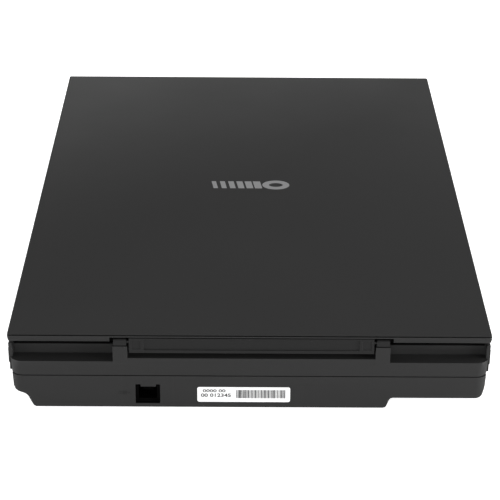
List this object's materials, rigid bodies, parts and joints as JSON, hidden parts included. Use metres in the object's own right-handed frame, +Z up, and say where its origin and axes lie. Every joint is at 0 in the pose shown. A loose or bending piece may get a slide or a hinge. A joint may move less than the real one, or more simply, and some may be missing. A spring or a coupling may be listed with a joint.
{
  "type": "flatbed scanner",
  "caption": "Slim black flatbed document scanner with a thin flat lid on rising hinge arms, a glass bed and a rear cable port.",
  "frame": {"origin": "middle of the resting plane, under the centre of the whole object's box", "axes": "+Z up; the front edge with the buttons faces -Y, the hinges and the cable port face +Y"},
  "size_m": [0.25, 0.367, 0.044],
  "materials": {
    "lid_plastic": "satin black moulded lid with a fine spark-eroded grain",
    "housing_plastic": "satin black moulded housing with a fine grain",
    "inner_plastic": "plain black moulding",
    "grip_plastic": "matt black strip",
    "button_plastic": "dark grey semi-gloss key cap",
    "clear_glass": "clear float glass",
    "clear_acrylic": "clear moulded acrylic",
    "lens_glass": "dark rod lenses",
    "white_film": "white film",
    "label_paper": "white satin label stock with grey marks",
    "pad_foam": "soft light grey foam",
    "foot_rubber": "black rubber",
    "bright_steel": "bright drawn steel",
    "sintered_brass": "sintered bearing metal",
    "white_nylon": "natural nylon",
    "circuit_board": "green solder mask",
    "chip_epoxy": "black epoxy",
    "ribbon_film": "white flat cable",
    "emblem_silver": "soft silver grey inlay"
  },
  "bodies": {
    "base": {"lower_housing": "housing_plastic", "upper_housing": "housing_plastic", "platen_glass": "clear_glass", "calibration_strip": "white_film", "side_rail_left": "grip_plastic", "side_rail_right": "grip_plastic", "serial_label": "label_paper", "foot_rear_left": "foot_rubber", "foot_rear_right": "foot_rubber", "foot_front_left": "foot_rubber", "foot_front_right": "foot_rubber", "housing_screw_front_left": "bright_steel", "housing_screw_front_right": "bright_steel", "housing_screw_rear_left": "bright_steel", "housing_screw_rear_right": "bright_steel", "guide_shaft": "bright_steel", "drive_rack": "white_nylon", "main_board": "circuit_board", "main_chip": "chip_epoxy", "usb_socket": "inner_plastic", "port_panel": "housing_plastic", "ribbon_connector": "white_film", "ribbon_cable": "ribbon_film", "button_board": "circuit_board"},
    "arm_left": {"hinge_arm_left": "inner_plastic"},
    "arm_right": {"hinge_arm_right": "inner_plastic"},
    "lid": {"lid_cover": "lid_plastic", "lid_tray": "inner_plastic", "hinge_bar": "inner_plastic", "hinge_pin_left": "inner_plastic", "hinge_pin_right": "inner_plastic", "foam_pad": "pad_foam", "white_sheet": "white_film", "lid_emblem": "emblem_silver", "lid_bumper_left": "foot_rubber", "lid_bumper_right": "foot_rubber"},
    "carriage": {"carriage_frame": "inner_plastic", "bushing_front": "sintered_brass", "bushing_rear": "sintered_brass", "drive_motor": "bright_steel", "sensor_spring_left": "bright_steel", "sensor_spring_right": "bright_steel"},
    "sensor": {"sensor_housing": "inner_plastic", "lens_array": "lens_glass", "light_guide": "clear_acrylic", "sensor_board": "circuit_board", "glass_glide_left": "white_nylon", "glass_glide_right": "white_nylon"},
    "drive_wheel": {"drive_gear": "white_nylon"},
    "motor_pinion": {"motor_gear": "sintered_brass"},
    "button_1_cap": {"button_1": "button_plastic"},
    "button_2_cap": {"button_2": "button_plastic"},
    "button_3_cap": {"button_3": "button_plastic"},
    "button_4_cap": {"button_4": "button_plastic"}
  },
  "joints": [
    {"name": "left_arm_lift", "type": "slide", "parent": "base", "child": "arm_left", "axis": [0, 0, 1], "range_m": [0, 0.018]},
    {"name": "right_arm_lift", "type": "slide", "parent": "base", "child": "arm_right", "axis": [0, 0, 1], "range_m": [0, 0.018]},
    {"name": "lid_hinge", "type": "hinge", "parent": "arm_left", "child": "lid", "pos_m": [0.06685, 0.1813, 0.0389], "axis": [-1, 0, 0], "range_deg": [0, 100]},
    {"name": "carriage_slide", "type": "slide", "parent": "base", "child": "carriage", "axis": [0, 1, 0], "range_m": [0, 0.3], "deforming": ["ribbon_cable"]},
    {"name": "drive_spin", "type": "hinge", "parent": "carriage", "child": "drive_wheel", "pos_m": [0.022, -0.156, 0.009], "axis": [0, 0, 1], "range_deg": [0, 2870]},
    {"name": "motor_spin", "type": "hinge", "parent": "carriage", "child": "motor_pinion", "pos_m": [0.0388, -0.156, 0.015], "axis": [0, 0, 1], "range_deg": [-10510, 0]},
    {"name": "sensor_float", "type": "slide", "parent": "carriage", "child": "sensor", "axis": [0, 0, -1], "range_m": [0, 0.0006], "stiffness_N_per_m": 600, "springref_m": -0.0012, "deforming": ["sensor_spring_left", "sensor_spring_right"]},
    {"name": "button_1_press", "type": "slide", "parent": "base", "child": "button_1_cap", "axis": [0, 1, 0], "range_m": [0, 0.0006], "stiffness_N_per_m": 1500, "springref_m": -0.0003},
    {"name": "button_2_press", "type": "slide", "parent": "base", "child": "button_2_cap", "axis": [0, 1, 0], "range_m": [0, 0.0006], "stiffness_N_per_m": 1500, "springref_m": -0.0003},
    {"name": "button_3_press", "type": "slide", "parent": "base", "child": "button_3_cap", "axis": [0, 1, 0], "range_m": [0, 0.0006], "stiffness_N_per_m": 1500, "springref_m": -0.0003},
    {"name": "button_4_press", "type": "slide", "parent": "base", "child": "button_4_cap", "axis": [0, 1, 0], "range_m": [0, 0.0006], "stiffness_N_per_m": 1500, "springref_m": -0.0003}
  ],
  "couplings": [
    {"joint": "right_arm_lift", "follows": "left_arm_lift", "ratio": 1},
    {"joint": "drive_spin", "follows": "carriage_slide", "rad_per_m": 166.67},
    {"joint": "motor_spin", "follows": "carriage_slide", "rad_per_m": -611.11}
  ]
}
